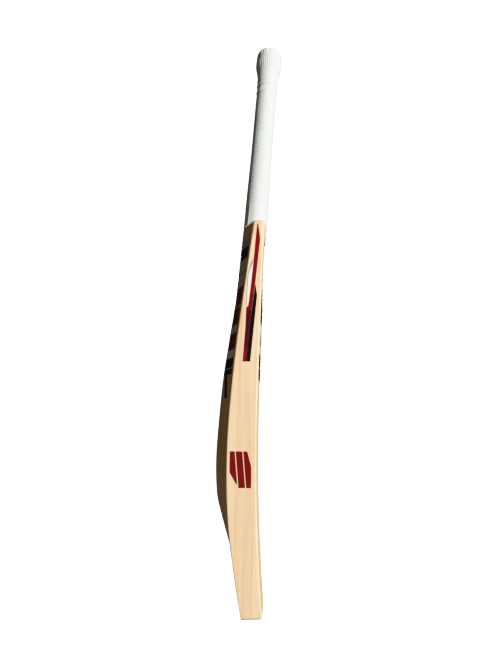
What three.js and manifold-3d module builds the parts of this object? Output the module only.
// A cricket bat, built as it is made: a willow blade with a V splice, a laminated cane
// handle with rubber inserts, a twine binding, a pulled-on rubber grip and thin decals.
//
// Millimetres. The model is laid out with the toe at height 0, +Z up the face of the
// blade, +X across its width, the hitting face towards -Y and the spine towards +Y.
// The finished group is moved so that its origin is the middle of the hand grip.

import * as THREE from "three";
import { mergeVertices } from "three/addons/utils/BufferGeometryUtils.js";
import Module from "manifold-3d";

const manifold = await Module();
manifold.setup();

// ---------------------------------------------------------------- driving dimensions

// Blade. Curves are [height above the toe, value] pairs with a smooth curve through them.
const HALF_WIDTH = 54;
const SHOULDER_TOP = 549;
const FACE_BOW = [[0, -0.8], [60, 3.3], [140, 7.1], [230, 8.5], [330, 7], [430, 4.3], [490, 2.1],
  [530, 0], [549, -0.4]];
const EDGE_THICKNESS = [[0, 26.6], [60, 33.5], [120, 39.4], [180, 41.1], [250, 39.5], [330, 34.7],
  [400, 28.9], [460, 23.2], [490, 20.8], [530, 18.7], [549, 18.7]];
const SPINE_CREST = [[0, 26.4], [60, 38], [100, 50.8], [125, 58.7], [150, 65], [195, 67.5], [250, 65.1],
  [310, 60.1], [370, 52.1], [430, 43.8], [500, 37.7], [549, 33.5]];
const FACE_CROWN = 1.5;
// The back's rise to the spine is a cosine; a power under 1 hollows it beside the edges.
const RIDGE_SHAPE = 0.9;
const TOE_CORNER = 4;
// The end of the toe is cut at a slight slope: how far it lies above height 0 at the face
// and at the back. The slope fades out up the blade.
const TOE_LIFT_AT_FACE = 3;
const TOE_LIFT_AT_BACK = 1.4;
const TOE_LIFT_REACH = 30;
const SHOULDER_CORNER = 22;
const SHOULDER_CORNER_TOP = 545;
const SHOULDER_CORNER_START = SHOULDER_CORNER_TOP - SHOULDER_CORNER;
const SHOULDER_SLOPE_RUN = 17.8;
// The radius that rounds the rim of the face and of the back, by height.
const FACE_RIM = [[0, 1.2], [25, 2.5], [470, 2.5], [490, 2.5], [535, 7], [549, 7]];
const BACK_RIM = [[0, 1.2], [60, 1.6], [140, 2.6], [470, 2.6], [490, 2.8], [535, 5], [549, 6]];
const SHOULDER_RIM_REACH = 0.6;
const FACE_STEPS = 5;
const BACK_STEPS = 8;
const RIM_STEPS = 4;
const EDGE_ROW_SPACING = 25;

// Splice: a V that runs right through the blade from the face to the back.
const SPLICE_TIP = 410;
const SPLICE_TIP_HALF_WIDTH = 0.8;
const SPLICE_TOP_HALF_WIDTH = 15.2;
const GLUE_GAP = 0.3;

// Handle. Its own frame starts at HANDLE_BASE and leans towards the face.
const HANDLE_BASE = new THREE.Vector3(0, 15.3, SHOULDER_TOP);
const HANDLE_LEAN = THREE.MathUtils.degToRad(3.8);
const HANDLE_LENGTH = 299.5;
const WIDTH_RATIO = 0.96;
const HANDLE_SEGMENTS = 40;
const CORE_RADIUS = [[-12, 14.9], [20, 14.8], [60, 14.1], [120, 13.1], [170, 13], [225, 13],
  [250, 13.9], [272, 16], [286, 16.8], [296, 16.4]];
const CORE_END_CHAMFER = 2.4;
const CORE_END = HANDLE_LENGTH - CORE_END_CHAMFER;
// Heights at which the core and everything around it change section together.
const HANDLE_ROWS = [-12, -10, 3.5, 20, 60, 100, 140, 180, 215, 228, 238, 248, 257, 265, 273, 284, 291,
  CORE_END];
const SLAB_PITCH = 7.4;
const INSERT_THICKNESS = 1.5;
const STICK_HALF_WIDTH = 5;
const INNER_GAP = 0.2;

// Coverings of the handle.
const TWINE_THICKNESS = 0.8;
const TWINE_START = 3.5;
const TWINE_END = 284;
const GRIP_CLEARANCE = 1.3;
const GRIP_RADIUS = [[-10, 18.2], [20, 18], [60, 17.4], [120, 16.4], [170, 16.3], [215, 16.1],
  [235, 16.1], [250, 16.5], [262, 18.2], [272, 20.6], [281, 21.3], [291, 20.4]];
const GRIP_TOP = 301.5;
const GRIP_MOUTH_RADIUS = 10.5;
const GRIP_KNOB_ROUND = 4.5;
const GRIP_END_MIDDLE = -3.5;
const GRIP_END_WAVE = 5.5;
const GRIP_WAVE_REACH = 40;

// Decals: thin skins that follow the wood.
const DECAL_LIFT = 0.3;
const DECAL_THICKNESS = 0.35;
const DECAL_STEPS_ACROSS = 12;
const DECAL_STEP = 20;
const FLASH_STEP = 4;
const BACK_DECAL_HALF_WIDTH = 41;
const FACE_DECAL_HALF_WIDTH = 49;

const BACK_DECALS = { low: 283, join: 445, high: 527, gap: 1.5 };
const FACE_DECAL = { low: 308, high: 511 };
const BADGE = {
  front: [[164, 15], [191, 15], [211, 21]],
  back: [[164, 32], [184, 44], [211, 44]],
};

// Where the middle of the hand grip lies along the handle.
const HOLD_POINT = 150;

// Safely outside the bat in any direction across it, for cutting tools.
const FAR = 60;

// --------------------------------------------------------------------------- colours

const WILLOW = { color: 0xe9c797, roughness: 0.55, metalness: 0 };
const CANE = { color: 0xd2a765, roughness: 0.6, metalness: 0 };
const INSERT_RUBBER = { color: 0x2b2a28, roughness: 0.8, metalness: 0 };
const TWINE = { color: 0xc9bfa6, roughness: 0.9, metalness: 0 };
const GRIP_RUBBER = { color: 0xebf2ee, roughness: 0.65, metalness: 0 };
const RED_FOIL = { color: 0x930a14, roughness: 0.35, metalness: 0 };
const BLACK_FOIL = { color: 0x0d0b0c, roughness: 0.35, metalness: 0 };
const WHITE_FOIL = { color: 0xf3f1ec, roughness: 0.4, metalness: 0 };

// The flashes on each edge. Each has two straight-sided outlines of [height, y] corners,
// one towards the face and one towards the back.
const FLASHES = [
  {
    kind: "red_flash",
    look: RED_FOIL,
    front: [[332, 24], [384, 19.9], [444, 13.3], [510, 7.1], [534, 10.2]],
    back: [[332, 28.7], [380, 25.7], [408, 24.9], [411, 22.1], [444, 18.4], [475, 15.6], [534, 11]],
  },
  {
    kind: "black_flash",
    look: BLACK_FOIL,
    front: [[332, 18.9], [426, 10.5], [442, 12.8]],
    back: [[332, 23.6], [384, 19.5], [442, 13.1]],
  },
  {
    kind: "white_flash",
    look: WHITE_FOIL,
    front: [[410.5, 23.5], [413, 22.3], [444, 18.8], [474, 16.1]],
    back: [[410.5, 24.2], [413, 24.9], [460, 22.9], [474, 16.7]],
  },
];

// --------------------------------------------------------------------- shape helpers

// The value of a curve at a place, by cubic interpolation between its few points.
function along(points, place) {
  const last = points.length - 1;
  const slope = (k) => {
    const before = points[Math.max(k - 1, 0)];
    const after = points[Math.min(k + 1, last)];
    return (after[1] - before[1]) / (after[0] - before[0]);
  };
  let i = 0;
  while (i < last - 1 && place > points[i + 1][0]) {
    i += 1;
  }
  const span = points[i + 1][0] - points[i][0];
  const t = THREE.MathUtils.clamp((place - points[i][0]) / span, 0, 1);
  const start = points[i][1] * (1 + 2 * t) * (1 - t) ** 2 + span * slope(i) * t * (1 - t) ** 2;
  const end = points[i + 1][1] * t * t * (3 - 2 * t) + span * slope(i + 1) * t * t * (t - 1);
  return start + end;
}

// How far a quarter round of the given radius has pulled in, at a depth into the round.
function quarterRound(radius, depth) {
  if (depth <= 0) {
    return 0;
  }
  return radius - Math.sqrt(Math.max(radius ** 2 - Math.min(depth, radius) ** 2, 0));
}

// A closed solid through rings of equal point count. Given a hub for each end, the ends
// close as fans. Otherwise each closes by a ladder that joins the first half of its ring
// to the second half, so bent ribbons close too.
function loft(rings, hubs = []) {
  const count = rings[0].length;
  const triangles = [];
  for (let r = 0; r < rings.length - 1; r += 1) {
    for (let i = 0; i < count; i += 1) {
      const a = r * count + i;
      const b = r * count + (i + 1) % count;
      triangles.push(a, b, b + count, a, b + count, a + count);
    }
  }
  const top = (rings.length - 1) * count;
  const hub = rings.length * count;
  for (let i = 0; hubs.length && i < count; i += 1) {
    const next = (i + 1) % count;
    triangles.push(hub, next, i, hub + 1, top + i, top + next);
  }
  for (let i = 0; !hubs.length && i < count / 2 - 1; i += 1) {
    const [a, b, c, d] = [i, i + 1, count - 2 - i, count - 1 - i];
    triangles.push(a, c, b, a, d, c);
    triangles.push(top + a, top + b, top + c, top + a, top + c, top + d);
  }
  const geometry = new THREE.BufferGeometry().setFromPoints([...rings.flat(), ...hubs]);
  geometry.setIndex(triangles);
  return geometry;
}

function centroid(points) {
  const sum = points.reduce((total, point) => total.add(point), new THREE.Vector3());
  return sum.divideScalar(points.length);
}

// A closed sheet over surface(u, row, lift): u runs from 0 to 1 across each of the rows.
function skin(surface, acrossSteps, rows) {
  const rings = rows.map((row) => {
    const under = [];
    const over = [];
    for (let i = 0; i <= acrossSteps; i += 1) {
      under.push(surface(i / acrossSteps, row, DECAL_LIFT));
      over.push(surface(1 - i / acrossSteps, row, DECAL_LIFT + DECAL_THICKNESS));
    }
    return [...under, ...over];
  });
  return facingOut(loft(rings));
}

// The same closed geometry with its triangles turned, if need be, so that they face out.
function facingOut(geometry) {
  const p = geometry.attributes.position;
  const index = geometry.index.array;
  const [a, b, c] = [new THREE.Vector3(), new THREE.Vector3(), new THREE.Vector3()];
  let volume = 0;
  for (let i = 0; i < index.length; i += 3) {
    a.fromBufferAttribute(p, index[i]);
    b.fromBufferAttribute(p, index[i + 1]);
    c.fromBufferAttribute(p, index[i + 2]);
    volume += a.dot(b.cross(c));
  }
  if (volume < 0) {
    index.reverse();
  }
  return geometry;
}

// A geometry as a solid that can be cut: shared vertices merged, empty triangles dropped.
function toSolid(geometry) {
  const bare = geometry.clone();
  bare.deleteAttribute("normal");
  bare.deleteAttribute("uv");
  const merged = mergeVertices(bare, 1e-4);
  const kept = [];
  for (let i = 0; i < merged.index.count; i += 3) {
    const [a, b, c] = [0, 1, 2].map((k) => merged.index.getX(i + k));
    if (a !== b && b !== c && c !== a) {
      kept.push(a, b, c);
    }
  }
  merged.setIndex(kept);
  facingOut(merged);
  return new manifold.Manifold(new manifold.Mesh({
    numProp: 3,
    vertProperties: new Float32Array(merged.attributes.position.array),
    triVerts: new Uint32Array(merged.index.array),
  }));
}

// A cut solid back as a geometry.
function toGeometry(solid) {
  const mesh = solid.getMesh();
  const geometry = new THREE.BufferGeometry();
  geometry.setAttribute("position", new THREE.BufferAttribute(mesh.vertProperties, 3));
  geometry.setIndex(new THREE.BufferAttribute(mesh.triVerts, 1));
  return geometry;
}

function part(name, geometry, look) {
  const shaded = geometry.index ? geometry.toNonIndexed() : geometry;
  shaded.computeVertexNormals();
  const mesh = new THREE.Mesh(shaded, new THREE.MeshStandardMaterial(look));
  mesh.name = name;
  return mesh;
}

// ----------------------------------------------------------------------------- blade

// Half the width of the blade: round toe corners, straight edges, round shoulders that
// end in a gentle slope up to the handle.
function halfWidth(height) {
  if (height < TOE_CORNER) {
    return HALF_WIDTH - quarterRound(TOE_CORNER, TOE_CORNER - height);
  }
  if (height <= SHOULDER_CORNER_TOP) {
    return HALF_WIDTH - quarterRound(SHOULDER_CORNER, height - SHOULDER_CORNER_START);
  }
  const slope = (height - SHOULDER_CORNER_TOP) / (SHOULDER_TOP - SHOULDER_CORNER_TOP);
  return HALF_WIDTH - SHOULDER_CORNER - SHOULDER_SLOPE_RUN * slope;
}

// How far inside the outline of the blade a point lies, as seen from the face.
function inset(x, height) {
  const across = Math.abs(x);
  const slope = THREE.MathUtils.clamp((HALF_WIDTH - SHOULDER_CORNER - across) / SHOULDER_SLOPE_RUN, 0, 1);
  const top = THREE.MathUtils.lerp(SHOULDER_CORNER_TOP, SHOULDER_TOP, slope);
  return Math.min(
    cornerInset(TOE_CORNER, across, height),
    cornerInset(SHOULDER_CORNER, across, top - height),
  );
}

// The same beside one pair of round corners, at a distance from that end of the blade.
function cornerInset(radius, across, fromEnd) {
  const out = across - (HALF_WIDTH - radius);
  const beyond = radius - fromEnd;
  if (out > 0 && beyond > 0) {
    return radius - Math.hypot(out, beyond);
  }
  return Math.min(radius - out, fromEnd);
}

// How far a rim of the given radius pulls the face or the back in at a point.
function rimPull(radius, x, height) {
  return quarterRound(radius, radius - inset(x, height));
}

function faceAt(x, height) {
  const u = x / halfWidth(height);
  const crown = FACE_CROWN * (1 - u * u);
  return along(FACE_BOW, height) - crown + rimPull(along(FACE_RIM, height), x, height);
}

// The back rises from each edge to a rounded spine, slightly hollow beside the edges.
function backAt(x, height) {
  const edge = along(FACE_BOW, height) + along(EDGE_THICKNESS, height);
  const u = Math.min(Math.abs(x) / halfWidth(height), 1);
  const ridge = 0.5 * (1 + Math.cos(Math.PI * u ** RIDGE_SHAPE));
  const crest = (along(SPINE_CREST, height) - edge) * ridge;
  return edge + crest - rimPull(along(BACK_RIM, height), x, height);
}

// How far in from the side a rim is felt: its own radius beside a straight edge, and most
// of the remaining width where the shoulders curve in.
function rimReach(radius, height) {
  const curl = THREE.MathUtils.clamp((height - SHOULDER_CORNER_START) / SHOULDER_CORNER, 0, 1);
  return THREE.MathUtils.lerp(radius, SHOULDER_RIM_REACH * halfWidth(height), curl);
}

// How far the sloping end of the toe raises a point of the section at a height.
function toeLift(y, height) {
  const depth = y / along(EDGE_THICKNESS, 0);
  const fade = Math.max(1 - height / TOE_LIFT_REACH, 0);
  return fade * THREE.MathUtils.lerp(TOE_LIFT_AT_FACE, TOE_LIFT_AT_BACK, depth);
}

// One section of the blade, grown outwards all round by the given amount.
function bladeRing(height, grow) {
  const half = halfWidth(height);
  const front = rimReach(along(FACE_RIM, height), height);
  const back = rimReach(along(BACK_RIM, height), height);
  const right = [];
  for (let i = 0; i < FACE_STEPS; i += 1) {
    const x = (half - front) * i / FACE_STEPS;
    right.push([x, faceAt(x, height)]);
  }
  for (let i = 0; i <= RIM_STEPS; i += 1) {
    const x = half - front * (1 - Math.sin(Math.PI / 2 * i / RIM_STEPS));
    right.push([x, faceAt(x, height)]);
  }
  for (let i = 0; i <= RIM_STEPS; i += 1) {
    const x = half - back * (1 - Math.cos(Math.PI / 2 * i / RIM_STEPS));
    right.push([x, backAt(x, height)]);
  }
  for (let i = BACK_STEPS - 1; i >= 0; i -= 1) {
    const x = (half - back) * i / BACK_STEPS;
    right.push([x, backAt(x, height)]);
  }
  const left = right.slice(1, -1).reverse().map(([x, y]) => [-x, y]);
  const middle = along(FACE_BOW, height) + along(EDGE_THICKNESS, height) / 2;
  return [...right, ...left].map(([x, y]) => new THREE.Vector3(
    x + Math.sign(x) * grow,
    y + Math.sign(y - middle) * grow,
    height + toeLift(y, height) + grow,
  ));
}

// The heights of the sections: close together round the corners of the toe and the
// shoulders, evenly spaced along the straight edges.
function bladeHeights() {
  const toe = [0, 0.4, 1, 1.8, 2.8, TOE_CORNER, 12];
  const edges = curveHeights(30, 505, EDGE_ROW_SPACING);
  const corner = [514, SHOULDER_CORNER_START, 528, 532, 536, 539, 541.5, 543.5, SHOULDER_CORNER_TOP];
  const slope = [546.3, 547.5, 548.4, SHOULDER_TOP];
  return [...toe, ...edges, ...corner, ...slope];
}

function bladeBlank(grow = 0) {
  const rings = bladeHeights().map((height) => bladeRing(height, grow));
  return toSolid(loft(rings, [centroid(rings[0]), centroid(rings[rings.length - 1])]));
}

// The outline of the splice, cut through the whole thickness; above the shoulders it
// opens out so that the round handle passes.
function splicePrism(gap) {
  const outline = new THREE.Shape([
    new THREE.Vector2(-SPLICE_TIP_HALF_WIDTH + gap, SPLICE_TIP + gap),
    new THREE.Vector2(SPLICE_TIP_HALF_WIDTH - gap, SPLICE_TIP + gap),
    new THREE.Vector2(SPLICE_TOP_HALF_WIDTH - gap, SHOULDER_TOP),
    new THREE.Vector2(FAR, SHOULDER_TOP + gap),
    new THREE.Vector2(FAR, SHOULDER_TOP + 2 * HANDLE_LENGTH),
    new THREE.Vector2(-FAR, SHOULDER_TOP + 2 * HANDLE_LENGTH),
    new THREE.Vector2(-FAR, SHOULDER_TOP + gap),
    new THREE.Vector2(-SPLICE_TOP_HALF_WIDTH + gap, SHOULDER_TOP),
  ]);
  const prism = new THREE.ExtrudeGeometry(outline, { depth: 3 * FAR, bevelEnabled: false });
  prism.rotateX(Math.PI / 2);
  prism.translate(0, 2 * FAR, 0);
  return toSolid(prism);
}

// ---------------------------------------------------------------------------- handle

// Places a geometry from the handle's own frame into the bat's.
function onHandle(geometry) {
  geometry.scale(WIDTH_RATIO, 1, 1);
  geometry.rotateX(HANDLE_LEAN);
  geometry.translate(HANDLE_BASE.x, HANDLE_BASE.y, HANDLE_BASE.z);
  return geometry;
}

// A solid of revolution about the handle's axis, from [radius, height] pairs.
function turned(profile, segments) {
  const points = profile.map(([radius, height]) => new THREE.Vector2(radius, height));
  return new THREE.LatheGeometry(points, segments).rotateX(Math.PI / 2);
}

function curveHeights(start, end, step) {
  const count = Math.ceil((end - start) / step);
  return Array.from({ length: count + 1 }, (_, i) => start + (end - start) * i / count);
}

// [radius, height] pairs of one curve, at the handle's rows between two heights.
function handleProfile(radii, low, high, extra = 0) {
  const rows = HANDLE_ROWS.filter((height) => height >= low && height <= high);
  return rows.map((height) => [along(radii, height) + extra, height]);
}

// The round cane core, with its flared end chamfered.
function roundCore() {
  const profile = handleProfile(CORE_RADIUS, HANDLE_ROWS[0], CORE_END);
  const endRadius = profile[profile.length - 1][0] - CORE_END_CHAMFER;
  const loop = [[0, HANDLE_ROWS[0]], ...profile, [endRadius, HANDLE_LENGTH], [0, HANDLE_LENGTH]];
  return toSolid(onHandle(turned(loop, HANDLE_SEGMENTS)));
}

// The whole handle: the round core joined to a wedge that is flush with face and back.
function handleBlank(blank) {
  return roundCore().add(blank).intersect(splicePrism(GLUE_GAP));
}

// The part of the handle inside a box given in the handle's own frame. The box passes
// both ends of the handle.
function handlePiece(handle, xRange, yRange) {
  const low = SPLICE_TIP - SHOULDER_TOP - FAR;
  const high = HANDLE_LENGTH + FAR;
  const box = new THREE.BoxGeometry(xRange[1] - xRange[0], yRange[1] - yRange[0], high - low);
  box.translate((xRange[0] + xRange[1]) / 2, (yRange[0] + yRange[1]) / 2, (low + high) / 2);
  return toGeometry(handle.intersect(toSolid(onHandle(box))));
}

// Four slabs of cane, front to back, each of three sticks side by side.
function caneSticks(handle) {
  const clear = INSERT_THICKNESS / 2 + INNER_GAP;
  const slabs = [
    ["front", [-FAR, -SLAB_PITCH - clear]],
    ["front_middle", [-SLAB_PITCH + clear, -clear]],
    ["back_middle", [clear, SLAB_PITCH - clear]],
    ["back", [SLAB_PITCH + clear, FAR]],
  ];
  const columns = [
    ["left", [-FAR, -STICK_HALF_WIDTH - INNER_GAP]],
    ["centre", [-STICK_HALF_WIDTH, STICK_HALF_WIDTH]],
    ["right", [STICK_HALF_WIDTH + INNER_GAP, FAR]],
  ];
  const sticks = [];
  for (const [slab, yRange] of slabs) {
    for (const [column, xRange] of columns) {
      sticks.push(part(`cane_stick_${slab}_${column}`, handlePiece(handle, xRange, yRange), CANE));
    }
  }
  return sticks;
}

// Three shock-absorbing rubber strips glued between the slabs.
function rubberInserts(handle) {
  const half = INSERT_THICKNESS / 2;
  const places = [["front", -SLAB_PITCH], ["middle", 0], ["back", SLAB_PITCH]];
  return places.map(([name, y]) => part(
    `rubber_insert_${name}`,
    handlePiece(handle, [-FAR, FAR], [y - half, y + half]),
    INSERT_RUBBER,
  ));
}

// The binding that is wound over the whole round part of the cane, as one thin sleeve.
function twineBinding() {
  const inner = handleProfile(CORE_RADIUS, TWINE_START, TWINE_END, INNER_GAP);
  const outer = inner.map(([radius, height]) => [radius + TWINE_THICKNESS, height]).reverse();
  return part("twine_binding", facingOut(closedTurned([...inner, ...outer])), TWINE);
}

// A ring turned from a profile that closes on itself, placed on the handle.
function closedTurned(loop) {
  const ring = onHandle(turned([...loop, loop[0]], HANDLE_SEGMENTS));
  ring.deleteAttribute("normal");
  ring.deleteAttribute("uv");
  return mergeVertices(ring, 1e-4);
}

// The rubber grip: a sleeve with a swollen knob, a rolled mouth that shows the end of the
// cane, and a lower end that dips over the face and the back and is trimmed by the blade.
function rubberGrip() {
  const start = GRIP_RADIUS[0][0];
  const knobEnd = GRIP_RADIUS[GRIP_RADIUS.length - 1][0];
  const outer = handleProfile(GRIP_RADIUS, start, knobEnd);
  const [knobRadius] = outer[outer.length - 1];
  const lip = GRIP_TOP - knobEnd;
  for (let i = 1; i <= 4; i += 1) {
    const turn = Math.PI / 2 * i / 4;
    outer.push([knobRadius - GRIP_KNOB_ROUND * (1 - Math.cos(turn)), knobEnd + lip * Math.sin(turn)]);
  }
  outer.push([GRIP_MOUTH_RADIUS, GRIP_TOP - 0.2]);
  const inner = handleProfile(CORE_RADIUS, start, CORE_END, GRIP_CLEARANCE).reverse();
  const mouth = HANDLE_LENGTH + GLUE_GAP;
  const under = [[GRIP_MOUTH_RADIUS, mouth], [inner[0][0] - CORE_END_CHAMFER - GRIP_CLEARANCE / 2, mouth]];
  const loop = [...outer, ...under, ...inner];
  const sleeve = turned([...loop, loop[0]], HANDLE_SEGMENTS);
  waveLowerEnd(sleeve.attributes.position, start);
  const grip = toSolid(onHandle(sleeve)).subtract(bladeBlank(GLUE_GAP));
  return part("rubber_grip", toGeometry(grip), GRIP_RUBBER);
}

// Lifts the lower end of the sleeve to its waved line, easing out further up.
function waveLowerEnd(position, start) {
  for (let i = 0; i < position.count; i += 1) {
    const turn = Math.atan2(position.getY(i), position.getX(i));
    const end = GRIP_END_MIDDLE + GRIP_END_WAVE * Math.cos(2 * turn);
    const ease = THREE.MathUtils.clamp(1 - (position.getZ(i) - start) / GRIP_WAVE_REACH, 0, 1);
    position.setZ(i, position.getZ(i) + (end - start) * ease);
  }
}

// ---------------------------------------------------------------------------- decals

// A straight-sided outline's value at a height.
function outlineAt(points, height) {
  const i = Math.max(points.findIndex(([place]) => place >= height), 1);
  const [[startHeight, start], [endHeight, end]] = [points[i - 1], points[i]];
  return THREE.MathUtils.mapLinear(height, startHeight, endHeight, start, end);
}

// A flash or the badge on one edge, between two [height, y] outlines that share their end
// heights. It bends over the round shoulder in short steps.
function edgeFlash(side, front, back) {
  const corners = [...front, ...back].map(([height]) => height);
  const end = Math.max(...corners);
  const bend = end > SHOULDER_CORNER_START ? curveHeights(SHOULDER_CORNER_START, end, FLASH_STEP) : [];
  const rows = [...new Set([...corners, ...bend])].sort((a, b) => a - b);
  return skin((u, height, lift) => {
    const y = THREE.MathUtils.lerp(outlineAt(front, height), outlineAt(back, height), u);
    return new THREE.Vector3(side * (halfWidth(height) + lift), y, height);
  }, 1, rows);
}

function edgeDecals() {
  const decals = [];
  for (const [name, side] of [["left", -1], ["right", 1]]) {
    for (const { kind, look, front, back } of FLASHES) {
      decals.push(part(`${name}_edge_${kind}`, edgeFlash(side, front, back), look));
    }
    decals.push(part(`${name}_edge_badge`, edgeFlash(side, BADGE.front, BADGE.back), RED_FOIL));
  }
  return decals;
}

// A decal on the face or the back, between two heights.
function broadDecal(name, look, surface, direction, halfAcross, low, high) {
  return part(name, skin((u, height, lift) => {
    const x = halfAcross * (2 * u - 1);
    return new THREE.Vector3(x, surface(x, height) + direction * lift, height);
  }, DECAL_STEPS_ACROSS, curveHeights(low, high, DECAL_STEP)), look);
}

// -------------------------------------------------------------------------- assembly

const blank = bladeBlank();
const handle = handleBlank(blank);
const blade = blank.subtract(splicePrism(0));

const bat = new THREE.Group();
bat.add(part("willow_blade", toGeometry(blade), WILLOW));
bat.add(...caneSticks(handle));
bat.add(...rubberInserts(handle));
bat.add(twineBinding());
bat.add(rubberGrip());
bat.add(...edgeDecals());
bat.add(broadDecal("back_decal_upper", WHITE_FOIL, backAt, 1, BACK_DECAL_HALF_WIDTH,
  BACK_DECALS.join + BACK_DECALS.gap, BACK_DECALS.high));
bat.add(broadDecal("back_decal_lower", RED_FOIL, backAt, 1, BACK_DECAL_HALF_WIDTH,
  BACK_DECALS.low, BACK_DECALS.join));
bat.add(broadDecal("face_decal", BLACK_FOIL, faceAt, -1, FACE_DECAL_HALF_WIDTH,
  FACE_DECAL.low, FACE_DECAL.high));

const hold = new THREE.Vector3(0, 0, HOLD_POINT).applyAxisAngle(new THREE.Vector3(1, 0, 0), HANDLE_LEAN);
bat.position.copy(hold.add(HANDLE_BASE)).negate();

const group = new THREE.Group();
group.add(bat);

export default group;
